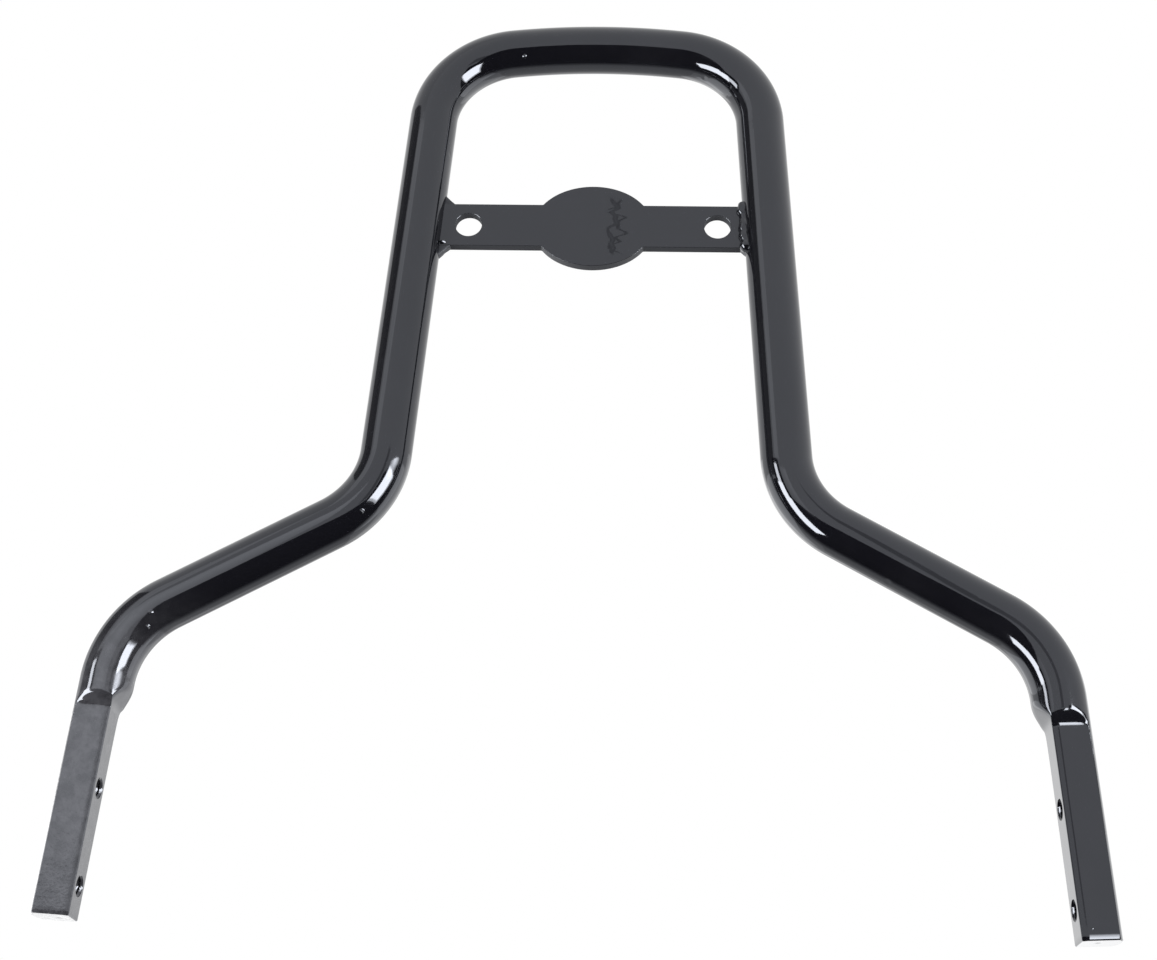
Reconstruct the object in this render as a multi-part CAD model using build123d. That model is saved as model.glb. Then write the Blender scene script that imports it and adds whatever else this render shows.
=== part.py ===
"""Sissy bar: a bent round bar with flattened, drilled leg ends and a welded pad plate.

Millimetres. X runs to the right as seen from the front, Y to the back and Z up. The bar's axis lies
in the plane Y = 0, the legs' lowest corners are at Z = 0 and X = 0 is the plane of symmetry.
"""

import os
from math import cos, isclose, radians, sin, sqrt, tan

from build123d import *

# Round bar and its bends, along the bar's axis from the middle of the top to the round shank above the tang
bar_diameter = 15.875
bend_radius = 30.0
crown_radius = 235.0
crown_half_angle = 7.0
rail_lean = 3.0
rail_length = 125.0
flare_angle = 60.0
flare_length = 53.5
leg_lean = 3.0
shank_length = 8.1

# Flattened leg ends: lengths are measured up from the sawn end, offsets from the bar's axis
tang_thickness = 9.5
tang_length = 60.7
face_ramp_length = 2.6
face_ramp_fillet = 1.6
inner_flat_offset = 3.9
inner_flat_length = 61.9
inner_ramp_length = 4.8
inner_ramp_fillet = 4.0
tang_edge_radius = 0.7

# Two tapped holes through each tang, from its inner flat to its round outer side
lower_hole_height = 9.0
leg_hole_pitch = 27.9
leg_hole_diameter = 5.2
leg_hole_chamfer = 0.45

# Pad plate, let in between the rails: its holes' centres are measured in from the rails' sides
plate_drop = 72.3
plate_thickness = 3.0
strip_height = 15.9
oval_width = 38.5
oval_height = 30.5
oval_corner_radius = 0.8
pad_hole_diameter = 8.7
pad_hole_to_rail = 8.6

# Weld metal between the plate's ends and the rails
bead_radius = 2.2
bead_overrun = 1.4
lump_radius = 2.9
lump_length = 4.2
left_web_leg = 3.6
right_web_leg = 1.8
web_thickness = 2.6

bar_radius = bar_diameter / 2
leg_length = tang_length + shank_length
tang_half_thickness = tang_thickness / 2
mirror_plane = Plane.YZ


def right_run():
    """Bar axis on the right, from the end of the crown down to the leg's end, drawn in X and Z as X and Y."""
    crown = CenterArc((0, -crown_radius), crown_radius, 90, -crown_half_angle)
    corner = JernArc(crown @ 1, crown % 1, bend_radius, -(90 - rail_lean - crown_half_angle))
    rail = PolarLine(corner @ 1, rail_length, direction=corner % 1)
    waist = JernArc(rail @ 1, rail % 1, bend_radius, flare_angle - rail_lean)
    flare = PolarLine(waist @ 1, flare_length, direction=waist % 1)
    ankle = JernArc(flare @ 1, flare % 1, bend_radius, -(flare_angle - leg_lean))
    leg = PolarLine(ankle @ 1, leg_length, direction=ankle % 1)
    return [crown, corner, rail, waist, flare, ankle, leg]


run = right_run()
rail_start = run[2] @ 0
leg_end = run[-1] @ 1
top_height = inner_flat_offset * sin(radians(leg_lean)) - leg_end.Y
upright = Plane(origin=(0, 0, top_height), x_dir=(1, 0, 0), z_dir=(0, -1, 0))
plate_height = top_height - plate_drop


def rail_axis_x(height):
    """Distance of a rail's axis from the plane of symmetry at one height."""
    below_rail_start = top_height + rail_start.Y - height
    return rail_start.X + below_rail_start * tan(radians(rail_lean))


def rail_side_x(height, offset):
    """Distance from the plane of symmetry of a line inside the rail's axis by an offset, at one height."""
    return rail_axis_x(height) - offset / cos(radians(rail_lean))


pad_hole_spacing = 2 * (rail_side_x(plate_height, bar_radius) - pad_hole_to_rail)


def leg_frame():
    """Frame at the right leg's sawn end: X towards the other leg, Y to the front, Z up the leg."""
    lean = radians(leg_lean)
    return Plane(
        origin=(leg_end.X, 0, leg_end.Y + top_height),
        x_dir=(-cos(lean), 0, -sin(lean)),
        z_dir=(-sin(lean), 0, cos(lean)),
    )


def flat_cutter(offset, flat_length, ramp_length, ramp_fillet):
    """Block outside one flat of the tang: the flat, a fillet and a ramp that runs out through the round bar."""
    depth = bar_radius - offset
    reach = 2 * depth
    spare = bar_radius
    outline = Polyline(
        (offset, -spare),
        (offset + reach, -spare),
        (offset + reach, flat_length + ramp_length * reach / depth),
        (offset, flat_length),
        close=True,
    )
    side = make_face(outline)
    ramp_foot = side.vertices().sort_by_distance((offset, flat_length))[0]
    side = fillet(ramp_foot, ramp_fillet)
    return extrude(Plane.XZ * side, bar_diameter, both=True)


def tang_holes():
    """Drills for one leg's two holes, each with a small chamfer at the inner flat."""
    drills = []
    for height in (lower_hole_height, lower_hole_height + leg_hole_pitch):
        mouth = Plane(origin=(inner_flat_offset, 0, height), z_dir=(-1, 0, 0))
        drill = Cylinder(leg_hole_diameter / 2, 2 * bar_diameter)
        chamfer_cone = Cone(
            leg_hole_diameter / 2 + 2 * leg_hole_chamfer,
            leg_hole_diameter / 2,
            2 * leg_hole_chamfer,
        )
        drills.append(mouth * (drill + chamfer_cone))
    return drills


def tang_edges(bar):
    """Long edges of both tangs, where the inner flat meets the front and back flats."""
    frame = leg_frame()
    edges = []
    for edge in bar.edges():
        middle = edge @ 0.5
        local = frame.to_local_coords(Vector(abs(middle.X), middle.Y, middle.Z))
        on_inner_flat = isclose(local.X, inner_flat_offset, abs_tol=0.01)
        on_face = isclose(abs(local.Y), tang_half_thickness, abs_tol=0.01)
        if on_inner_flat and on_face:
            edges.append(edge)
    return edges


def upright_bar():
    """The bent bar with its tangs and holes."""
    left_run = [edge.mirror(mirror_plane) for edge in run]
    axis = upright * Wire([*run, *left_run])
    section = Plane(origin=axis @ 0, z_dir=axis % 0) * Circle(bar_radius)
    bar = sweep(section, path=axis)
    inner = flat_cutter(inner_flat_offset, inner_flat_length, inner_ramp_length, inner_ramp_fillet)
    face = flat_cutter(tang_half_thickness, tang_length, face_ramp_length, face_ramp_fillet)
    cutters = [inner, Rot(Z=90) * face, Rot(Z=-90) * face, *tang_holes()]
    right_cutters = [leg_frame() * cutter for cutter in cutters]
    left_cutters = [cutter.mirror(mirror_plane) for cutter in right_cutters]
    bar = bar - right_cutters - left_cutters
    return fillet(tang_edges(bar), tang_edge_radius)


def pad_plate(bar):
    """Flat strip with an oval middle and two bolt holes, its ends coped to the rails."""
    strip = Rectangle(2 * rail_axis_x(plate_height), strip_height)
    outline = strip + Ellipse(oval_width / 2, oval_height / 2)
    neck_corners = outline.vertices().filter_by(
        lambda corner: abs(corner.X) < oval_width / 2 and abs(abs(corner.Y) - strip_height / 2) < 0.01
    )
    outline = fillet(neck_corners, oval_corner_radius)
    outline -= GridLocations(pad_hole_spacing, 0, 2, 1) * Circle(pad_hole_diameter / 2)
    blank = extrude(Plane.XZ * outline, plate_thickness / 2, both=True)
    return Pos(0, 0, plate_height) * blank - bar


def bead(start, end):
    """Weld bead around the line between two points, thicker where the welder started and stopped."""
    length = (end - start).length
    profile = Polyline(
        (0, 0),
        (bead_radius, 0),
        (lump_radius, lump_length / 3),
        (lump_radius, lump_length * 2 / 3),
        (bead_radius, lump_length),
        (bead_radius, length - lump_length),
        (lump_radius, length - lump_length * 2 / 3),
        (lump_radius, length - lump_length / 3),
        (bead_radius, length),
        (0, length),
        close=True,
    )
    half_section = make_face(profile)
    return Plane(origin=start, z_dir=end - start) * revolve(Plane.XZ * half_section, Axis.Z)


def weld(face, web_leg, bar, plate):
    """Weld metal at the plate's right end: a bead on the face -1 (front) or 1 (back), and a web in each corner."""
    half_plate = plate_thickness / 2
    corner_offset = sqrt(bar_radius**2 - half_plate**2)
    metal = []
    bead_ends = []
    for end in (-1, 1):
        edge = plate_height + end * strip_height / 2
        tip = edge + end * web_leg
        root = edge - end * web_leg
        toe_x = rail_side_x(edge, corner_offset) - web_leg
        web = Polyline(
            (rail_axis_x(root), root),
            (rail_axis_x(tip), tip),
            (rail_side_x(tip, corner_offset), tip),
            (toe_x, edge),
            (toe_x, root),
            close=True,
        )
        metal.append(extrude(Plane.XZ * make_face(web), web_thickness / 2, both=True))
        bead_end = edge + end * bead_overrun
        bead_ends.append(Vector(rail_side_x(bead_end, corner_offset), face * half_plate, bead_end))
    return bead(*bead_ends).fuse(*metal) - bar - plate


if __name__ == "__main__":
    os.makedirs("parts", exist_ok=True)
    bar = upright_bar()
    plate = pad_plate(bar)
    right_weld = weld(-1, right_web_leg, bar, plate)
    left_weld = weld(1, left_web_leg, bar, plate).mirror(mirror_plane)
    export_step(bar, "parts/upright_bar.step")
    export_step(plate, "parts/pad_plate.step")
    export_step(left_weld, "parts/left_weld.step")
    export_step(right_weld, "parts/right_weld.step")
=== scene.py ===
"""Sissy bar: a bent round steel bar with flattened leg ends and a welded pad plate, in gloss black paint.

The shapes are worked out in millimetres in the frame of the solids: X to the right, Y to the back and Z up.
"""

from math import cos, hypot, pi, radians, sin, tan

import bpy
import numpy as np
from mathutils import Matrix, Vector


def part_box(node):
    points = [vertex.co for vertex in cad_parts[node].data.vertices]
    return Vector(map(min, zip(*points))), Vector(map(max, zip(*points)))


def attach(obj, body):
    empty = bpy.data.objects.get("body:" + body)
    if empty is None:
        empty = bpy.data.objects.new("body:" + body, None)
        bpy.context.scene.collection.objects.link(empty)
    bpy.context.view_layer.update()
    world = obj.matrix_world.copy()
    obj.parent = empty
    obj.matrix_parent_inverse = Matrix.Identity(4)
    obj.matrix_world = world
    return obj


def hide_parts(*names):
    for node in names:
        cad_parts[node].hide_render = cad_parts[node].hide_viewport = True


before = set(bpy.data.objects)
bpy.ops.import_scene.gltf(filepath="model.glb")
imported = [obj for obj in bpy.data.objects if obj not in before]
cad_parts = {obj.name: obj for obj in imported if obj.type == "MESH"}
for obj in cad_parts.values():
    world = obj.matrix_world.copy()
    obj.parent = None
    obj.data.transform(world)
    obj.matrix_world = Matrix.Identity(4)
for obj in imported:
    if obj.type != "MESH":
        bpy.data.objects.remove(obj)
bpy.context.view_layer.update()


# The upright bar is one length of five-eighths round steel bar, bent cold into a hoop with flared legs.
# Its leg ends are forged flat on three sides, then drilled and tapped for the motorcycle's side plates.
# It was welded to the pad plate first, and then the whole was sprayed with gloss black enamel.
millimetre = 0.001
bar_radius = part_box("upright_bar")[1][1] / millimetre
bend_radius = 30.0
crown_radius = 235.0
crown_turn = radians(7.0)
rail_lean = radians(3.0)
rail_length = 125.0
flare_angle = radians(60.0)
flare_length = 53.5
shank_length = 8.1
tang_length = 60.7
tang_half_thickness = 4.75
face_ramp_length = 2.6
face_foot_softness = 1.0
inner_flat_offset = 3.9
inner_flat_length = 61.9
inner_ramp_length = 4.8
inner_foot_softness = 1.3
end_edge_break = 0.4

corner_turn = pi / 2 - rail_lean - crown_turn
waist_turn = flare_angle - rail_lean
run_lengths = [
    crown_radius * crown_turn,
    bend_radius * corner_turn,
    rail_length,
    bend_radius * waist_turn,
    flare_length,
    bend_radius * waist_turn,
    shank_length + tang_length,
]
run_turns = [crown_turn, corner_turn, 0, -waist_turn, 0, waist_turn, 0]
run_ends = np.concatenate([[0], np.cumsum(run_lengths)])
run_headings = np.concatenate([[0], np.cumsum(run_turns)])
half_length = run_ends[-1]
axis_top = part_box("upright_bar")[1][2] / millimetre - bar_radius
front = np.array([0.0, -1.0, 0.0])

fine_distance = np.linspace(0, half_length, 20001)
fine_step = fine_distance[1]
fine_heading = np.interp(fine_distance, run_ends, run_headings)
mid_heading = (fine_heading[1:] + fine_heading[:-1]) / 2
fine_x = np.concatenate([[0], np.cumsum(np.cos(mid_heading)) * fine_step])
fine_z = axis_top - np.concatenate([[0], np.cumsum(np.sin(mid_heading)) * fine_step])


def bar_axis(distance):
    """Axis points and directions along the bar and to its outer side, by distance from the top's middle.

    The heading below the level turns evenly along each bend and keeps still along each straight run, and
    the axis is the running sum of its direction. The left half, at negative distances, mirrors the right.
    """
    side = np.where(distance < 0, -1.0, 1.0)
    heading = np.interp(np.abs(distance), run_ends, run_headings)
    level = np.zeros_like(heading)
    x = side * np.interp(np.abs(distance), fine_distance, fine_x)
    z = np.interp(np.abs(distance), fine_distance, fine_z)
    axis = np.stack([x, level, z], axis=-1)
    along = np.stack([np.cos(heading), level, -side * np.sin(heading)], axis=-1)
    outward = np.stack([side * np.sin(heading), level, np.cos(heading)], axis=-1)
    return axis, along, outward


def soft_polygon(angle, directions, offsets, sharpness):
    """Radius of a polygon with rounded corners, seen from inside it at an angle.

    A straight side at an offset lies at the offset over the cosine of the angle from its own direction. The
    sides' inverses are added as powers, so that the nearest side counts and corners come out round.
    """
    least_nearness = 1e-150
    nearness = 0
    for direction, offset in zip(directions, offsets):
        nearness = nearness + (np.maximum(np.cos(angle - direction), 0) / offset) ** sharpness
    return np.maximum(nearness, least_nearness) ** (-1 / sharpness)


def ramped(offset, flat_length, ramp_length, foot_softness, height):
    """Offset of a tang's flat at a height up the leg: level, then a ramp, with a soft foot between them."""
    past_foot = height - flat_length
    rise = (past_foot + np.sqrt(past_foot**2 + foot_softness**2)) / 2
    return offset + rise * (bar_radius - offset) / ramp_length


outer_edge_angle = np.arcsin(tang_half_thickness / bar_radius)
inner_edge_angle = pi - np.arctan2(tang_half_thickness, inner_flat_offset)
roll_width = radians(20)
roll_start = inner_edge_angle - roll_width


def bar_section(distance, angle):
    """Radius of the bar around its axis: a circle, drawn in to three flats towards each leg's end.

    The angle is measured from the outer side towards the front. Circle and flats meet by the same sum of
    inverse powers as the polygon's sides: with a high power along the tang, so its outer edges stay crisp,
    and with a lower one where the ramps run out into the round bar. The front and back roll off beside the
    inner flat.
    """
    edge_sharpness = 70
    crisp_sharpness = 900
    runout_sharpness = 17
    crisp_stop = 1.8
    crisp_fade = 4
    roll_depth = 0.42
    height = half_length - np.abs(distance)
    past_roll_start = (np.abs(angle) - roll_start) / (inner_edge_angle - roll_start)
    roll = roll_depth * np.clip(past_roll_start, 0, 1) ** 2
    level_face = ramped(tang_half_thickness, tang_length, face_ramp_length, face_foot_softness, height)
    face = level_face - roll
    inner = ramped(inner_flat_offset, inner_flat_length, inner_ramp_length, inner_foot_softness, height)
    flats = soft_polygon(angle, (pi / 2, pi, -pi / 2), (face, inner, face), edge_sharpness)
    past_crisp = crisp_fade * (height - tang_length + crisp_stop)
    on_tang = 1 / (1 + np.exp(np.clip(past_crisp, -50, 50)))
    outside = np.clip(1 + 2 * np.cos(angle), 0, 1)
    sharpness = runout_sharpness + (crisp_sharpness - runout_sharpness) * on_tang * outside
    return bar_radius * (1 + (bar_radius / flats) ** sharpness) ** (-1 / sharpness)


def spread(start, end, density, count):
    """Places from start to end, closer together where a density is high: its running sum, cut evenly."""
    places = np.linspace(start, end, 8001)
    total = np.concatenate([[0], np.cumsum(density(places[1:]))])
    return np.interp(np.linspace(0, total[-1], count), total, places)


def skin(name, rings):
    """Closed mesh on a grid of points, rings by points around, with a fan to the middle of each end ring.

    Seen along the rings' order, the points go round from the first direction to the second of a
    right-handed frame, so all the faces point outwards.
    """
    ring_count, around, _ = rings.shape
    ends = rings[[0, -1]].mean(axis=1)
    points = np.concatenate([rings.reshape(-1, 3), ends]) * millimetre
    here = np.arange(around)
    beside = np.roll(here, -1)
    row = np.arange(ring_count - 1)[:, None] * around
    corners = [row + here, row + beside, row + around + beside, row + around + here]
    quads = np.stack(corners, axis=-1).reshape(-1, 4)
    first_end = ring_count * around
    last_row = first_end - around
    first_fan = np.stack([np.full(around, first_end), beside, here], axis=-1)
    last_fan = np.stack([np.full(around, first_end + 1), last_row + here, last_row + beside], axis=-1)
    mesh = bpy.data.meshes.new(name)
    mesh.from_pydata(points.tolist(), [], quads.tolist() + first_fan.tolist() + last_fan.tolist())
    piece = bpy.data.objects.new(name, mesh)
    bpy.context.collection.objects.link(piece)
    return piece


def smooth(piece, crease_angle):
    """Shades a piece smooth, with creases where two faces meet at more than the angle."""
    piece.data.polygons.foreach_set("use_smooth", np.ones(len(piece.data.polygons), dtype=bool))
    piece.data.set_sharp_from_angle(angle=crease_angle)
    piece.data.update()


def drill(piece, cutters):
    """Takes the cutters out of a piece, keeps the result as its mesh and removes the cutters."""
    for cutter in cutters:
        cut = piece.modifiers.new(cutter.name, "BOOLEAN")
        cut.operation = "DIFFERENCE"
        cut.solver = "EXACT"
        cut.object = cutter
    drilled = piece.evaluated_get(bpy.context.evaluated_depsgraph_get())
    piece.data = bpy.data.meshes.new_from_object(drilled)
    piece.modifiers.clear()
    for cutter in cutters:
        bpy.data.objects.remove(cutter)


def bar_density(distance):
    """Rings needed at each place: few on straight runs, more in bends and many on the tangs' ramps."""
    straight_rings = 0.22
    tang_rings = 0.5
    ramp_rings = 3.5
    ramp_reach = 5.5
    rings_per_radian = 34
    place = np.abs(distance)
    ahead = np.interp(place + 0.5, run_ends, run_headings)
    behind = np.interp(place - 0.5, run_ends, run_headings)
    bend = np.abs(ahead - behind)
    past_ramp = half_length - place - tang_length - face_ramp_length
    near_ramp = np.exp(-((past_ramp / ramp_reach) ** 2))
    return straight_rings + rings_per_radian * bend + ramp_rings * near_ramp + tang_rings * (past_ramp < 0)


def angle_density(angle):
    """Points needed around the section: more at the tang's four long edges."""
    edge_points = 2.2
    edge_reach = radians(7)
    density = np.ones_like(angle)
    for edge in (inner_edge_angle, -inner_edge_angle, outer_edge_angle, -outer_edge_angle):
        density += edge_points * np.exp(-(((angle - edge) / edge_reach) ** 2))
    return density


ring_count = 500
points_around = 140
station = spread(-half_length + end_edge_break, half_length - end_edge_break, bar_density, ring_count)
end_scales = np.array([0.3, 0.65, 1 - end_edge_break / bar_radius])
end_place = np.full(len(end_scales), half_length)
station = np.concatenate([-end_place, station, end_place])
ring_scale = np.concatenate([end_scales, np.ones(ring_count), end_scales[::-1]])
around_angle = spread(-pi, pi, angle_density, points_around + 1)[:-1]
outer_edges = np.array([-outer_edge_angle, outer_edge_angle])
around_angle[np.abs(around_angle[:, None] - outer_edges).argmin(axis=0)] = outer_edges
axis, along, outward = bar_axis(station)
reach = bar_section(station[:, None], around_angle) * ring_scale[:, None]
to_outside = np.cos(around_angle)[None, :, None] * outward[:, None]
to_front = np.sin(around_angle)[None, :, None] * front
sideways = to_outside + to_front
upright_bar = skin("upright_bar_skin", axis[:, None] + reach[..., None] * sideways)

# Thread of the tapped holes, a quarter inch with 20 turns to the inch
leg_hole_radius = 2.6
thread_depth = 0.45
thread_pitch = 25.4 / 20
hole_chamfer = 0.45
lower_hole_height = 9.0
leg_hole_pitch = 27.9


def tapped_hole(name, side, height):
    """Cutter for a tapped hole: a cylinder across the leg whose radius rises in a helical groove.

    The groove is a triangle wave of the depth in pitches less the turn around the hole, cut flat at crest
    and root, and a cone at the inner flat widens the mouth.
    """
    overshoot = 1.2
    rings_per_turn = 6
    groove_peak = 1.15
    flank_slope = 2.6
    depth = np.arange(-inner_flat_offset - overshoot, bar_radius + overshoot, thread_pitch / rings_per_turn)
    turn = np.linspace(0, 2 * pi, 36, endpoint=False)
    phase = (depth[:, None] / thread_pitch - turn / (2 * pi)) % 1
    groove = np.clip(groove_peak - flank_slope * np.abs(phase - 0.5), 0, 1) * thread_depth
    mouth = hole_chamfer - inner_flat_offset - depth[:, None]
    radius = leg_hole_radius + np.maximum(groove, mouth)
    centre, along, outward = bar_axis(np.array([side * (half_length - height)]))
    ring = np.cos(turn)[:, None] * front + np.sin(turn)[:, None] * along
    return skin(name, centre + depth[:, None, None] * outward + radius[..., None] * ring)


holes = []
for side in (-1, 1):
    for height in (lower_hole_height, lower_hole_height + leg_hole_pitch):
        holes.append(tapped_hole(f"leg_hole_{side}_{height}", side, height))
drill(upright_bar, holes)
steel_crease = radians(38)
smooth(upright_bar, steel_crease)


def node(tree, kind, **settings):
    """A shader node with its properties set."""
    made = tree.nodes.new(kind)
    for name, value in settings.items():
        setattr(made, name, value)
    return made


def feed(tree, target, **values):
    """Sets a node's inputs by name, spaces for underscores: a socket is linked and a value is written."""
    for name, value in values.items():
        socket = target.inputs[name.replace("_", " ")]
        if isinstance(value, bpy.types.NodeSocket):
            tree.links.new(value, socket)
        else:
            socket.default_value = value
    return target


def sums(tree, operation, first, second):
    """Result of one sum on two values, each a socket or a number."""
    made = node(tree, "ShaderNodeMath", operation=operation)
    for socket, value in zip(made.inputs, (first, second)):
        if isinstance(value, bpy.types.NodeSocket):
            tree.links.new(value, socket)
        else:
            socket.default_value = value
    return made.outputs[0]


def band(tree, value, low, high):
    """A value brought smoothly from 0 at a low mark to 1 at a high one."""
    made = node(tree, "ShaderNodeMapRange", interpolation_type="SMOOTHSTEP")
    feed(tree, made, Value=value, From_Min=low, From_Max=high)
    return made.outputs["Result"]


def noise(tree, place, **settings):
    """Value of a noise texture at a place."""
    return feed(tree, node(tree, "ShaderNodeTexNoise"), Vector=place, **settings).outputs["Fac"]


def cells(tree, place, scale):
    """A cell pattern: the distance from each cell's middle, in cells, and each cell's random values."""
    pattern = feed(tree, node(tree, "ShaderNodeTexVoronoi"), Vector=place, Scale=scale)
    lot = feed(tree, node(tree, "ShaderNodeSeparateColor"), Color=pattern.outputs["Color"])
    return pattern.outputs["Distance"], lot.outputs


def sprayed_enamel():
    """Node group for sprayed paint: orange peel, waves, nibs and dimples, handling marks and dust.

    Peel and waves are noise at their own scales. A nib is a small bump at the middle of a few of a cell
    pattern's cells, and a dimple a wider hollow in another's. Dust lies in patches on the left leg, and
    grain on its tang. Height is in metres, and the rest are masks.
    """
    wave_scale = 55.0
    nib_cell_scale = 85.0
    cells_without_nib = 0.78
    nib_steepness = 0.25
    dimple_cell_scale = 120.0
    hand_scale = 30.0
    dust_scale = 330.0
    least_dust = 0.45
    grain_scale = 1100.0
    grain_height = 9.0e-5
    group = bpy.data.node_groups.new("sprayed enamel", "ShaderNodeTree")
    for name in ("Peel Size", "Peel Height", "Wave Height", "Nib Size", "Dimple Depth"):
        group.interface.new_socket(name, in_out="INPUT", socket_type="NodeSocketFloat")
    for name in ("Height", "Haze", "Dust"):
        group.interface.new_socket(name, in_out="OUTPUT", socket_type="NodeSocketFloat")
    given = node(group, "NodeGroupInput").outputs
    result = node(group, "NodeGroupOutput")
    place = node(group, "ShaderNodeTexCoord").outputs["Object"]

    peel_scale = sums(group, "DIVIDE", 1.0, given["Peel Size"])
    peel = noise(group, place, Scale=peel_scale, Detail=1.0)
    waves = noise(group, place, Scale=wave_scale, Detail=1.0)
    nib_distance, nib_lot = cells(group, place, nib_cell_scale)
    few = sums(group, "GREATER_THAN", nib_lot["Red"], cells_without_nib)
    metres_off = sums(group, "DIVIDE", nib_distance, nib_cell_scale)
    from_middle = sums(group, "DIVIDE", metres_off, given["Nib Size"])
    nib = sums(group, "MULTIPLY", few, sums(group, "SUBTRACT", 1.0, band(group, from_middle, 0.2, 1.0)))
    pit_distance, pit_lot = cells(group, place, dimple_cell_scale)
    some = band(group, pit_lot["Green"], 0.45, 0.8)
    pit = sums(group, "MULTIPLY", band(group, pit_distance, 0.18, 0.0), some)
    haze = band(group, noise(group, place, Scale=hand_scale, Detail=5.0, Roughness=0.65), 0.45, 0.75)

    across = node(group, "ShaderNodeSeparateXYZ")
    feed(group, across, Vector=place)
    left_leg = band(group, across.outputs["X"], -0.100, -0.116)
    below_ankle = band(group, across.outputs["Z"], 0.100, 0.060)
    patches = band(group, noise(group, place, Scale=dust_scale, Detail=3.0, Roughness=0.6), 0.3, 0.7)
    patchy = sums(group, "ADD", least_dust, sums(group, "MULTIPLY", patches, 1 - least_dust))
    dust = sums(group, "MULTIPLY", sums(group, "MULTIPLY", left_leg, below_ankle), patchy)
    below_ramp = band(group, across.outputs["Z"], 0.0610, 0.0580)
    left_tang = sums(group, "MULTIPLY", band(group, across.outputs["X"], 0.0, -0.1), below_ramp)
    grain = noise(group, place, Scale=grain_scale, Detail=2.0, Roughness=0.6)

    height = sums(group, "MULTIPLY", peel, given["Peel Height"])
    height = sums(group, "ADD", height, sums(group, "MULTIPLY", waves, given["Wave Height"]))
    nib_height = sums(group, "MULTIPLY", given["Nib Size"], nib_steepness)
    height = sums(group, "ADD", height, sums(group, "MULTIPLY", nib, nib_height))
    grain_rise = sums(group, "MULTIPLY", sums(group, "MULTIPLY", grain, left_tang), grain_height)
    height = sums(group, "ADD", height, grain_rise)
    height = sums(group, "SUBTRACT", height, sums(group, "MULTIPLY", pit, given["Dimple Depth"]))
    feed(group, result, Height=height, Haze=haze, Dust=dust)
    return group


enamel = sprayed_enamel()
enamel_ior = 1.66
enamel_tint = (0.87, 0.91, 1.0, 1)
clean_black = (0.0035, 0.0035, 0.0048, 1)
handled_black = (0.0050, 0.0050, 0.0065, 1)
dust_grey = (0.034, 0.034, 0.038, 1)


def black_paint(name, peel_size, peel_height, wave_height, nib_size, dimple_depth, gloss, dull):
    """Material of sprayed gloss black enamel: its roughness goes from gloss to dull with handling marks."""
    paint = bpy.data.materials.new(name)
    paint.use_nodes = True
    tree = paint.node_tree
    shader = tree.nodes["Principled BSDF"]
    film = node(tree, "ShaderNodeGroup", node_tree=enamel)
    feed(tree, film, Peel_Size=peel_size, Peel_Height=peel_height, Wave_Height=wave_height)
    feed(tree, film, Nib_Size=nib_size, Dimple_Depth=dimple_depth)
    tint = node(tree, "ShaderNodeMix", data_type="RGBA")
    feed(tree, tint, Factor=film.outputs["Haze"], A=clean_black, B=handled_black)
    dusted = node(tree, "ShaderNodeMix", data_type="RGBA")
    feed(tree, dusted, Factor=film.outputs["Dust"], A=tint.outputs["Result"], B=dust_grey)
    shine = node(tree, "ShaderNodeMapRange")
    feed(tree, shine, Value=film.outputs["Haze"], To_Min=gloss, To_Max=dull)
    bump = node(tree, "ShaderNodeBump")
    feed(tree, bump, Height=film.outputs["Height"], Distance=1.0, Strength=1.0)
    feed(tree, shader, Base_Color=dusted.outputs["Result"], Roughness=shine.outputs["Result"])
    feed(tree, shader, Normal=bump.outputs["Normal"], IOR=enamel_ior, Specular_Tint=enamel_tint)
    return paint


bar_paint = black_paint(
    "bar_paint", peel_size=0.0018, peel_height=8e-6, wave_height=1.0e-4, nib_size=0.00035,
    dimple_depth=1.0e-4, gloss=0.06, dull=0.12,
)

# Four larger nibs, where grit was caught in the wet paint, by their places along and around the bar
nib_radius = 0.95
nib_rise = 0.3
nib_distances = np.array([-25.5, -217.2, -284.8, -288.7])
nib_angles = np.radians([136, 129, 112, 132])
nib_axis, _, nib_outward = bar_axis(nib_distances)
nib_away = np.cos(nib_angles)[:, None] * nib_outward + np.sin(nib_angles)[:, None] * front
bar_tree = bar_paint.node_tree
bar_spot = node(bar_tree, "ShaderNodeTexCoord").outputs["Object"]
raised = bar_tree.nodes["Group"].outputs["Height"]
for nib_place in (nib_axis + bar_radius * nib_away) * millimetre:
    apart = node(bar_tree, "ShaderNodeVectorMath", operation="DISTANCE")
    bar_tree.links.new(bar_spot, apart.inputs[0])
    apart.inputs[1].default_value = nib_place
    nib = band(bar_tree, apart.outputs["Value"], nib_radius * millimetre, 0.0)
    raised = sums(bar_tree, "ADD", raised, sums(bar_tree, "MULTIPLY", nib, nib_rise * millimetre))
feed(bar_tree, bar_tree.nodes["Bump"], Height=raised)
upright_bar.data.materials.clear()
upright_bar.data.materials.append(bar_paint)
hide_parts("upright_bar")
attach(upright_bar, "root")


# The pad plate is a strip cut from 3 mm sheet, with an oval middle that the passenger's pad covers and a
# bolt hole each side of it. It is let in between the rails on their centre line and painted with the bar.
plate_low, plate_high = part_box("pad_plate")
plate_height = (plate_low[2] + plate_high[2]) / 2 / millimetre
plate_half_thickness = 1.5
strip_half_height = 7.95
oval_half_width = 19.25
oval_half_height = 15.25
sheet_edge_radius = 0.15
pad_hole_radius = 4.35
pad_hole_to_rail = 8.6
neck_sharpness = 60
rail_start_x = np.interp(run_ends[2], fine_distance, fine_x)
rail_start_z = np.interp(run_ends[2], fine_distance, fine_z)


def rail_axis_x(height):
    """Distance of a rail's axis from the middle at one height: the rails spread downwards by their lean."""
    return rail_start_x + (rail_start_z - height) * tan(rail_lean)


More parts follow.
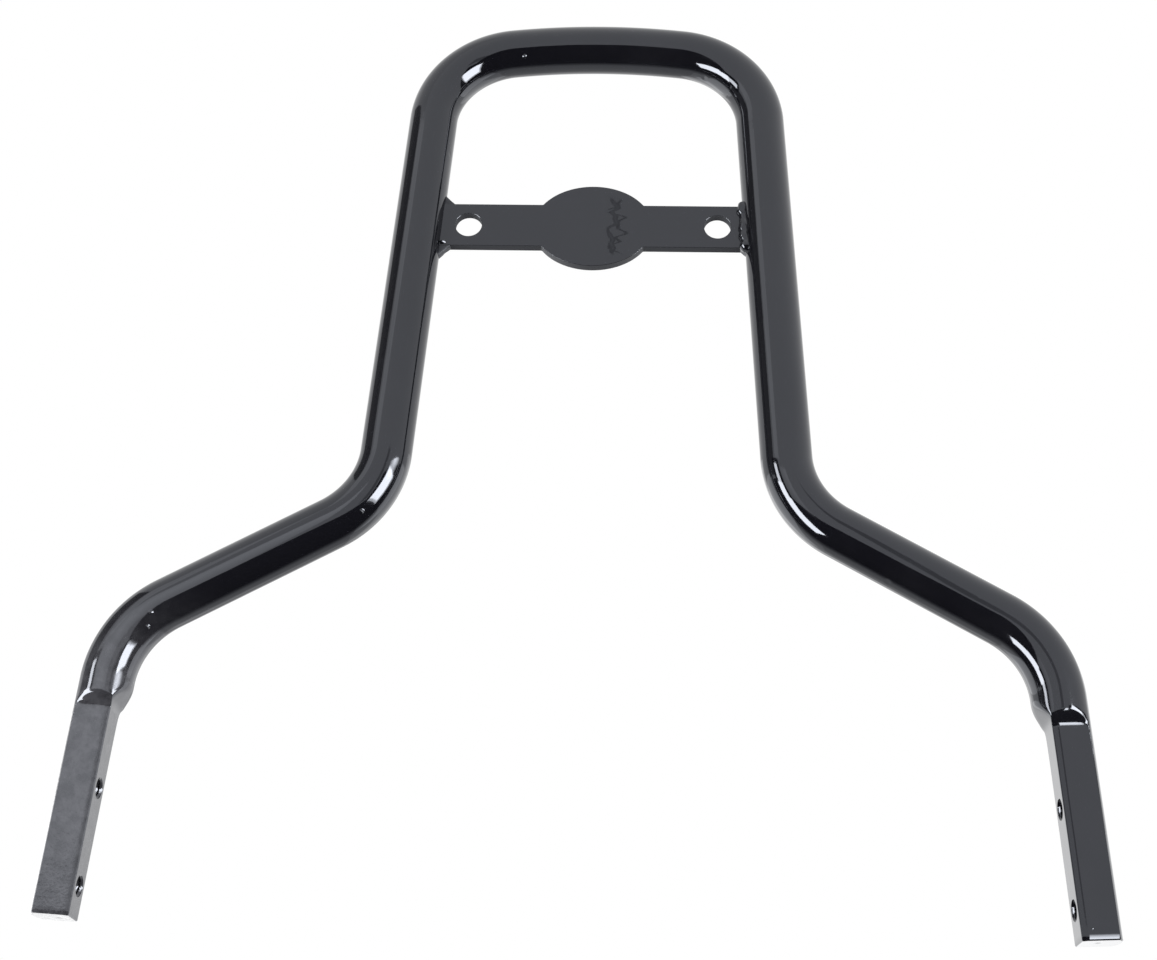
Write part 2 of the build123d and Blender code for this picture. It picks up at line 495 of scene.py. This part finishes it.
def rail_side_x(height, offset):
    """Distance from the middle of a line that runs inside a rail's axis by an offset, at one height."""
    return rail_axis_x(height) - offset / cos(rail_lean)


def plate_half_height(x):
    """Half the plate's height: the strip's or the oval's, whichever is more, with a small round between."""
    oval = oval_half_height * np.sqrt(np.clip(1 - (x / oval_half_width) ** 2, 1e-6, 1))
    return (strip_half_height**neck_sharpness + oval**neck_sharpness) ** (1 / neck_sharpness)


def plate_density(x):
    """Rings needed along the plate: most where the oval meets the strip."""
    strip_rings = 0.25
    oval_rings = 0.8
    neck_rings = 5
    neck_reach = 1.2
    neck_x = oval_half_width * np.sqrt(1 - (strip_half_height / oval_half_height) ** 2)
    near_neck = np.exp(-(((np.abs(x) - neck_x) / neck_reach) ** 2))
    return strip_rings + oval_rings * (np.abs(x) < neck_x) + neck_rings * near_neck


def plate_rings():
    """The plate as a rounded rectangle carried from left to right, its height following the outline.

    Each corner of the rectangle is a quarter turn of the edge radius about its own centre.
    """
    plate_ring_count = 240
    corner_points = 6
    end_x = rail_axis_x(plate_height) - bar_radius / 2
    x = spread(-end_x, end_x, plate_density, plate_ring_count)
    quarter = np.linspace(0, pi / 2, corner_points)
    turn = np.concatenate([quarter + start for start in (0, pi / 2, pi, 3 * pi / 2)])
    corner_up = np.repeat([1, -1, -1, 1], len(quarter))
    corner_front = np.repeat([1, 1, -1, -1], len(quarter))
    inner_height = plate_half_height(x) - sheet_edge_radius
    up = inner_height[:, None] * corner_up + sheet_edge_radius * np.cos(turn)
    forward = (plate_half_thickness - sheet_edge_radius) * corner_front + sheet_edge_radius * np.sin(turn)
    across = np.broadcast_to(x[:, None], up.shape)
    return np.stack([across, np.broadcast_to(-forward, up.shape), plate_height + up], axis=-1)


def pad_hole(name, x):
    """Cutter for a bolt hole: a cylinder from front to back that widens round the sheet's edges."""
    past_plate = plate_half_thickness + 1
    through = np.linspace(-plate_half_thickness, plate_half_thickness, 25)
    depth = np.concatenate([[-past_plate], through, [past_plate]])
    turn = np.linspace(0, 2 * pi, 64, endpoint=False)
    into_edge = np.clip(np.abs(depth) - plate_half_thickness + sheet_edge_radius, 0, sheet_edge_radius)
    widening = sheet_edge_radius - np.sqrt(sheet_edge_radius**2 - into_edge**2)
    radius = pad_hole_radius + widening + np.maximum(np.abs(depth) - plate_half_thickness, 0)
    right = x + radius[:, None] * np.sin(turn)
    up = plate_height + radius[:, None] * np.cos(turn)
    return skin(name, np.stack([right, np.broadcast_to(depth[:, None], right.shape), up], axis=-1))


def weigh_normals(piece):
    """Lets large flat faces set the shading beside their rounded edges."""
    weighted = piece.modifiers.new("weighted normals", "WEIGHTED_NORMAL")
    weighted.keep_sharp = True


pad_plate = skin("pad_plate_sheet", plate_rings())
pad_hole_x = rail_side_x(plate_height, bar_radius) - pad_hole_to_rail
drill(pad_plate, [pad_hole("left_pad_hole", -pad_hole_x), pad_hole("right_pad_hole", pad_hole_x)])
smooth(pad_plate, steel_crease)
weigh_normals(pad_plate)
plate_paint = black_paint(
    "plate_paint", peel_size=0.0012, peel_height=4e-6, wave_height=1.5e-5, nib_size=0.0003,
    dimple_depth=0.0, gloss=0.12, dull=0.2,
)
plate_tree = plate_paint.node_tree
plate_spot = node(plate_tree, "ShaderNodeTexCoord").outputs["Object"]
plate_across = feed(plate_tree, node(plate_tree, "ShaderNodeSeparateXYZ"), Vector=plate_spot).outputs
above_middle = sums(plate_tree, "SUBTRACT", plate_across["Z"], plate_height * millimetre)

# The smudge on the oval's front: two swaying streaks, in metres, where the paint is dull and leans downwards
smudge_lean = -0.64
smudge_dullness = 0.35
side_strength = 0.8


def streak(start, middle, sway, half_width):
    """Mask of an upright streak on the oval: highest along a line that sways with noise up the plate."""
    sway_scale = 210.0
    rise = sums(plate_tree, "ADD", above_middle, start)
    bends = node(plate_tree, "ShaderNodeTexNoise", noise_dimensions="1D")
    feed(plate_tree, bends, W=rise, Scale=sway_scale, Detail=1.0, Roughness=0.5)
    swayed = sums(plate_tree, "MULTIPLY", sums(plate_tree, "SUBTRACT", bends.outputs["Fac"], 0.5), sway)
    line = sums(plate_tree, "ADD", swayed, middle)
    off_line = sums(plate_tree, "ABSOLUTE", sums(plate_tree, "SUBTRACT", plate_across["X"], line), 0.0)
    return band(plate_tree, off_line, half_width, 0.0)


main_streak = streak(start=0.0, middle=0.0064, sway=0.009, half_width=0.0019)
side_streak = streak(start=0.31, middle=0.0082, sway=0.016, half_width=0.0016)
weaker_streak = sums(plate_tree, "MULTIPLY", side_streak, side_strength)
streaks = sums(plate_tree, "MAXIMUM", main_streak, weaker_streak)
smudge_rows = band(plate_tree, sums(plate_tree, "ABSOLUTE", above_middle, 0.0), 0.0132, 0.0086)
smudge_start = band(plate_tree, plate_across["X"], 0.0036, 0.0054)
smudge_area = sums(plate_tree, "MULTIPLY", smudge_rows, smudge_start)
on_front = band(plate_tree, plate_across["Y"], -0.0012, -0.0014)
smudge = sums(plate_tree, "MULTIPLY", sums(plate_tree, "MULTIPLY", streaks, smudge_area), on_front)
sag = node(plate_tree, "ShaderNodeCombineXYZ")
feed(plate_tree, sag, Z=sums(plate_tree, "MULTIPLY", smudge, smudge_lean))
sagging = node(plate_tree, "ShaderNodeVectorMath", operation="ADD")
plate_tree.links.new(plate_tree.nodes["Bump"].outputs["Normal"], sagging.inputs[0])
plate_tree.links.new(sag.outputs["Vector"], sagging.inputs[1])
leaning = node(plate_tree, "ShaderNodeVectorMath", operation="NORMALIZE")
plate_tree.links.new(sagging.outputs["Vector"], leaning.inputs[0])

# The cut edges are duller than the faces, and more so along the strip than around the oval
oval_edge_roughness = 0.62
strip_edge_roughness = 0.85
plate_shine = plate_tree.nodes["Map Range"].outputs["Result"]
smudged_shine = sums(plate_tree, "ADD", plate_shine, sums(plate_tree, "MULTIPLY", smudge, smudge_dullness))
cut_edge = band(plate_tree, sums(plate_tree, "ABSOLUTE", plate_across["Y"], 0.0), 0.00149, 0.00138)
off_oval = band(plate_tree, sums(plate_tree, "ABSOLUTE", plate_across["X"], 0.0), 0.0160, 0.0190)
edge_gain = sums(plate_tree, "MULTIPLY", off_oval, strip_edge_roughness - oval_edge_roughness)
edge_shine = sums(plate_tree, "ADD", oval_edge_roughness, edge_gain)
dull_edges = sums(plate_tree, "MAXIMUM", smudged_shine, sums(plate_tree, "MULTIPLY", cut_edge, edge_shine))
plate_shader = plate_tree.nodes["Principled BSDF"]
feed(plate_tree, plate_shader, Roughness=dull_edges, Normal=leaning.outputs["Vector"])
pad_plate.data.materials.clear()
pad_plate.data.materials.append(plate_paint)
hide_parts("pad_plate")
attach(pad_plate, "root")


# The welds hold the plate's ends to the rails. Each is a rippled bead up one face of the plate, the front at
# its right end and the back at its left end, with a short fillet across the plate's top and bottom edges.
# A drop of the weld metal has set on the front, in the left end's lower corner.
bead_radius = 2.2
bead_inset = 0.28
bead_overrun = 1.4
lower_lump_rise = 0.65
upper_lump_rise = 0.2
lump_from_end = 2.1
lump_reach = 1.6
unevenness = 0.16
ripple_pitch = 2.1
ripple_rise = 0.10
ripple_lag = 0.45
left_fillet_leg = 3.6
right_fillet_leg = 1.8
fillet_half_width = 1.45
fillet_root_offset = 2.2
fillet_sharpness = 9
fillet_lumpiness = 0.10
drop_half_width = 1.6
drop_half_height = 0.9
drop_half_depth = 0.45
drop_from_rail = 1.4
drop_from_edge = 1.2
drop_normal = np.array([0.509, -0.766, -0.392])
corner_offset = np.sqrt(bar_radius**2 - plate_half_thickness**2)


def bead_rings(side, face):
    """A bead up the corner between plate and rail: a rod that swells at both ends and at each ripple.

    The ripples are waves along the bead that lag towards its two toes, as the molten pool leaves them. Two
    slow waves each make the rod uneven and let it wander, and a high power rounds off its ends.
    """
    end_margin = 0.05
    end_power = 14
    half_run = strip_half_height + bead_overrun
    rise = np.linspace(-half_run, half_run, 110)
    turn = np.linspace(0, 2 * pi, 40, endpoint=False)
    from_lump = (np.abs(rise) - half_run + lump_from_end) / lump_reach
    lump = np.where(rise > 0, upper_lump_rise, lower_lump_rise) * np.exp(-(from_lump**2))
    lag = ripple_lag * (1 - np.cos(turn))
    uneven = unevenness * np.sin(1.3 * rise + 0.8) + unevenness * np.sin(0.55 * rise + 2.1)
    ripple = ripple_rise * np.abs(np.sin(pi * (rise[:, None] / ripple_pitch + uneven[:, None] + lag)))
    close = np.sqrt(np.clip(1 - (np.abs(rise) / (half_run + end_margin)) ** end_power, 0, 1))
    rod = bead_radius - bead_inset + uneven[:, None] + lump[:, None] + ripple - ripple_rise
    radius = rod * close[:, None]
    height = plate_height + rise
    zero = np.zeros_like(rise)
    wander = 0.22 * np.sin(0.75 * rise + 0.4) + 0.12 * np.sin(1.9 * rise)
    centre_x = side * (rail_side_x(height, corner_offset) + wander)
    centre = np.stack([centre_x, zero + face * plate_half_thickness, height], axis=-1)
    away = np.array([-side, face, 0.0]) / np.sqrt(2)
    other = np.cross([0.0, 0.0, 1.0], away)
    ring = np.cos(turn)[:, None] * away + np.sin(turn)[:, None] * other
    return centre[:, None] + radius[..., None] * ring


def fillet_rings(side, end, fillet_leg):
    """A short fillet across one edge of the plate: a soft triangle carried from front to back.

    Slow waves across and around make it lumpy, and a high power draws it in at both ends.
    """
    end_stretch = 1.01
    end_power = 8
    width = np.linspace(-fillet_half_width, fillet_half_width, 25)
    turn = np.linspace(0, 2 * pi, 72, endpoint=False)
    close = np.sqrt(np.clip(1 - (width / (fillet_half_width * end_stretch)) ** end_power, 0, 1))
    directions = (0.0, pi / 2, 5 * pi / 4)
    face_offset = fillet_leg / np.sqrt(2) * 0.5
    offsets = (fillet_root_offset, fillet_root_offset, face_offset)
    waves = np.sin(3.1 * width[:, None] + 2 * turn) * np.sin(2.0 * width[:, None] + 0.6 * end)
    lumps = 1 + fillet_lumpiness * waves
    radius = soft_polygon(turn, directions, offsets, fillet_sharpness) * lumps * close[:, None]
    edge = plate_height + end * strip_half_height
    root_x = side * (rail_side_x(edge, corner_offset) - fillet_leg / 4)
    root = np.array([root_x, 0.0, edge + end * fillet_leg / 4])
    to_rail = np.array([side, 0.0, 0.0])
    to_plate = np.array([0.0, 0.0, -end])
    ring = np.cos(turn)[:, None] * to_rail + np.sin(turn)[:, None] * to_plate
    forward = np.cross(to_rail, to_plate)
    return root + width[:, None, None] * forward + radius[..., None] * ring


def drop_rings(side, end):
    """A drop of weld metal on the plate's front: a flat ball, as rings of a sphere drawn out three ways."""
    pole_gap = 0.04
    pole = np.linspace(pole_gap, pi - pole_gap, 24)[:, None, None]
    turn = np.linspace(0, 2 * pi, 36, endpoint=False)[:, None]
    edge = plate_height + end * strip_half_height
    centre_x = side * (rail_side_x(edge, corner_offset) - drop_from_rail)
    centre = np.array([centre_x, -plate_half_thickness, edge - drop_from_edge * end])
    level = np.cross([0.0, 0.0, 1.0], drop_normal) / hypot(drop_normal[0], drop_normal[1])
    steep = np.cross(drop_normal, level)
    ring = np.cos(turn) * steep * drop_half_height + np.sin(turn) * drop_normal * drop_half_depth
    return centre - np.cos(pole) * level * drop_half_width + np.sin(pole) * ring


weld_paint = black_paint(
    "weld_paint", peel_size=0.0011, peel_height=4.5e-5, wave_height=2e-5, nib_size=0.0003,
    dimple_depth=0.0, gloss=0.1, dull=0.2,
)
fillet_paint = black_paint(
    "fillet_paint", peel_size=0.0012, peel_height=7e-5, wave_height=2e-5, nib_size=0.0003,
    dimple_depth=0.0, gloss=0.45, dull=0.6,
)
weld_crease = radians(50)
welds = (("left_weld", -1, 1, left_fillet_leg), ("right_weld", 1, -1, right_fillet_leg))
for weld_node, side, face, leg in welds:
    parts = [
        skin(f"{weld_node}_bead", bead_rings(side, face)),
        skin(f"{weld_node}_top_fillet", fillet_rings(side, 1, leg)),
        skin(f"{weld_node}_bottom_fillet", fillet_rings(side, -1, leg)),
    ]
    if side < 0:
        parts.append(skin(f"{weld_node}_drop", drop_rings(side, -1)))
    for part in parts:
        smooth(part, weld_crease)
        part.data.materials.append(fillet_paint if part.name.endswith("fillet") else weld_paint)
        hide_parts(weld_node)
        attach(part, "root")


# The studio: a plain pale floor, a white surround, softboxes at both sides in front, four large ones behind
# and four small ones close to the legs. The floor's underside is clear to the low camera, and the black
# cloths and gauzes around the object show only in its gloss.
def plain(name, colour, roughness):
    """Plain material of the studio's own furniture."""
    material = bpy.data.materials.new(name)
    material.use_nodes = True
    shader = material.node_tree.nodes["Principled BSDF"]
    feed(material.node_tree, shader, Base_Color=colour, Roughness=roughness, Specular_IOR_Level=0.0)
    return material


def see_through(material, amount):
    """Makes a plain material partly clear by a number or a socket: all solid at 0 and all clear at 1."""
    tree = material.node_tree
    mix = node(tree, "ShaderNodeMixShader")
    if isinstance(amount, bpy.types.NodeSocket):
        tree.links.new(amount, mix.inputs[0])
    else:
        mix.inputs[0].default_value = amount
    tree.links.new(tree.nodes["Principled BSDF"].outputs["BSDF"], mix.inputs[1])
    tree.links.new(node(tree, "ShaderNodeBsdfTransparent").outputs["BSDF"], mix.inputs[2])
    tree.links.new(mix.outputs["Shader"], tree.nodes["Material Output"].inputs["Surface"])


def panel(name, place, width, height, material):
    """Flat rectangle of the studio, in metres, laid in the X and Y of a place and facing its Z."""
    corners = [(-width / 2, -height / 2, 0), (width / 2, -height / 2, 0),
               (width / 2, height / 2, 0), (-width / 2, height / 2, 0)]
    mesh = bpy.data.meshes.new(name)
    mesh.from_pydata([place @ Vector(corner) for corner in corners], [], [(0, 1, 2, 3)])
    mesh.materials.append(material)
    piece = bpy.data.objects.new(name, mesh)
    bpy.context.collection.objects.link(piece)
    piece.visible_shadow = False
    return piece


floor_paint = plain("floor_paint", (0.8, 0.8, 0.8, 1), 0.7)
see_through(floor_paint, node(floor_paint.node_tree, "ShaderNodeNewGeometry").outputs["Backfacing"])
floor = panel("floor", Matrix(), 24.0, 24.0, floor_paint)
floor.visible_glossy = False


def facing(azimuth, elevation, distance, middle=(0, 0, 0.16)):
    """Place at a distance from a middle point, with its Z turned away from that point.

    The azimuth counts to the right from the front and the elevation up from the level, both in degrees.
    """
    level = cos(radians(elevation))
    away = Vector((sin(radians(azimuth)) * level, -cos(radians(azimuth)) * level, sin(radians(elevation))))
    turned = away.to_track_quat("Z", "Y").to_matrix().to_4x4()
    return Matrix.Translation(Vector(middle) + away * distance) @ turned


def dark_cloth(name, place, width, height, clear=0.0):
    """Black cloth, or partly clear gauze, that only shows as a dark shape in the gloss."""
    black = plain(name, (0.002, 0.002, 0.002, 1), 1.0)
    see_through(black, clear)
    cloth = panel(name, place, width, height, black)
    cloth.visible_camera = False
    cloth.visible_diffuse = False
    cloth.visible_transmission = False
    return cloth


def softbox(name, place, width, height, radiance, beam=pi):
    """Area lamp at a place, shining against its Z, that the camera doesn't see.

    A narrow beam gathers the light towards the lamp's axis, which the energy allows for.
    """
    lamp = bpy.data.lights.new(name, "AREA")
    lamp.shape = "RECTANGLE"
    lamp.size = width
    lamp.size_y = height
    lamp.spread = beam
    gathered = 1 - beam / 2 / tan(beam / 2) if beam < pi else 1
    lamp.energy = radiance * pi * width * height * gathered
    box = bpy.data.objects.new(name, lamp)
    box.matrix_world = place
    box.visible_camera = False
    bpy.context.collection.objects.link(box)


left_leg = (-0.15, 0, 0.05)
left_shank = (-0.140, 0, 0.068)
right_ramp = (0.142, 0, 0.064)
feet = (0, 0, 0)
left_place = facing(-60, -14, 0.8)
softbox("left_box", left_place @ Matrix.Translation((0.01, -0.222, 0)), 0.28, 0.556, 15)
softbox("left_middle_box", left_place @ Matrix.Translation((-0.02, 0.143, 0)), 0.25, 0.173, 15)
softbox("left_top_box", left_place @ Matrix.Translation((0, 0.335, 0)), 0.17, 0.21, 10)
dark_cloth("left_box_rim", left_place @ Matrix.Translation((0, -0.04, 0.02)), 0.46, 1.10)
softbox("left_spill_box", facing(-47, 30, 0.82), 0.24, 0.34, 0.5)
right_roll = Matrix.Rotation(radians(-18), 4, "Z")
softbox("right_box", facing(53.5, -7, 0.8) @ right_roll, 0.46, 0.33, 10)
softbox("right_box_skirt", facing(55.5, -8.4, 0.81) @ right_roll, 0.55, 0.38, 6)
dark_cloth("right_box_rim", facing(54, -9, 0.83), 0.80, 0.52)
softbox("left_leg_box", facing(-12, 18, 0.28, left_leg), 0.27, 0.18, 1.0, beam=radians(80))
softbox("feet_box", facing(180, -14, 0.25, feet), 0.5, 0.09, 1.5, beam=radians(60))
softbox("left_shank_box", facing(60, 17, 0.3, left_shank), 0.20, 0.07, 14, beam=radians(36))
softbox("right_ramp_box", facing(13, -18, 0.3, right_ramp), 0.05, 0.15, 16, beam=radians(50))
softbox("left_back_box", facing(-156, 3, 1.6), 1.0, 1.15, 0.75)
softbox("left_back_fill", facing(-127, -9, 1.7), 1.6, 1.2, 0.9)
softbox("right_back_box", facing(110, -17, 1.6), 0.8, 1.7, 0.9)
softbox("right_back_fill", facing(146, 0, 1.7), 1.3, 1.35, 0.5)

low_cloth = dark_cloth("low_cloth", Matrix.Translation((0, -2.0, -0.55)), 9.0, 5.0)
low_tree = low_cloth.data.materials[0].node_tree
low_place = node(low_tree, "ShaderNodeSeparateXYZ")
feed(low_tree, low_place, Vector=node(low_tree, "ShaderNodeTexCoord").outputs["Object"])
fading = sums(low_tree, "MULTIPLY", band(low_tree, low_place.outputs["Y"], 0.10, 0.50), 0.7)
low_tree.links.new(fading, low_tree.nodes["Mix Shader"].inputs[0])
dark_cloth("low_gauze", Matrix.Translation((0, 2.0, -0.55)), 1.0, 3.0, clear=0.7)
dark_cloth("left_cloth", facing(-86, -24, 0.9), 0.38, 0.95)
dark_cloth("left_gauze", facing(-84, 25, 0.9), 0.60, 0.60, clear=0.15)
dark_cloth("front_stand", facing(0, 0, 0.41, (0.125, 0, 0.20)), 0.07, 0.24, clear=0.45)
dark_cloth("left_high_gauze", facing(-62, 50, 1.2), 0.8, 0.9, clear=0.85)
dark_cloth("right_cloth", facing(89, -24, 0.9), 0.25, 1.2)

world = bpy.data.worlds.new("white surround")
world.use_nodes = True
world_tree = world.node_tree
seen = node(world_tree, "ShaderNodeLightPath").outputs
white = feed(world_tree, node(world_tree, "ShaderNodeBackground"), Color=(1, 1, 1, 1), Strength=1.0)
fill = feed(world_tree, node(world_tree, "ShaderNodeBackground"), Color=(1, 1, 1, 1), Strength=0.45)
mirrored = sums(world_tree, "MAXIMUM", seen["Is Glossy Ray"], seen["Is Transmission Ray"])
shown = sums(world_tree, "MAXIMUM", seen["Is Camera Ray"], mirrored)
surround = node(world_tree, "ShaderNodeMixShader")
world_tree.links.new(shown, surround.inputs[0])
world_tree.links.new(fill.outputs["Background"], surround.inputs[1])
world_tree.links.new(white.outputs["Background"], surround.inputs[2])
world_tree.links.new(surround.outputs["Shader"], world_tree.nodes["World Output"].inputs["Surface"])
bpy.context.scene.world = world


# The camera stands low in front of the legs and looks up the bar, a little from the right.
image_width = 1157
focal_pixels = 1783.3
camera_place = (0.0200, -0.4929, -0.0943)
camera_turn = radians(2.543)
camera_tilt = radians(25.027)
camera_roll = radians(1.948)
lens = bpy.data.cameras.new("camera")
lens.sensor_fit = "HORIZONTAL"
lens.sensor_width = 36.0
lens.lens = focal_pixels * lens.sensor_width / image_width
lens.clip_start = 0.01
camera = bpy.data.objects.new("camera", lens)
turned = Matrix.Rotation(camera_turn, 4, "Z") @ Matrix.Rotation(pi / 2 + camera_tilt, 4, "X")
camera.matrix_world = Matrix.Translation(camera_place) @ turned @ Matrix.Rotation(camera_roll, 4, "Z")
bpy.context.collection.objects.link(camera)
bpy.context.scene.camera = camera
bpy.context.scene.view_settings.view_transform = "Standard"
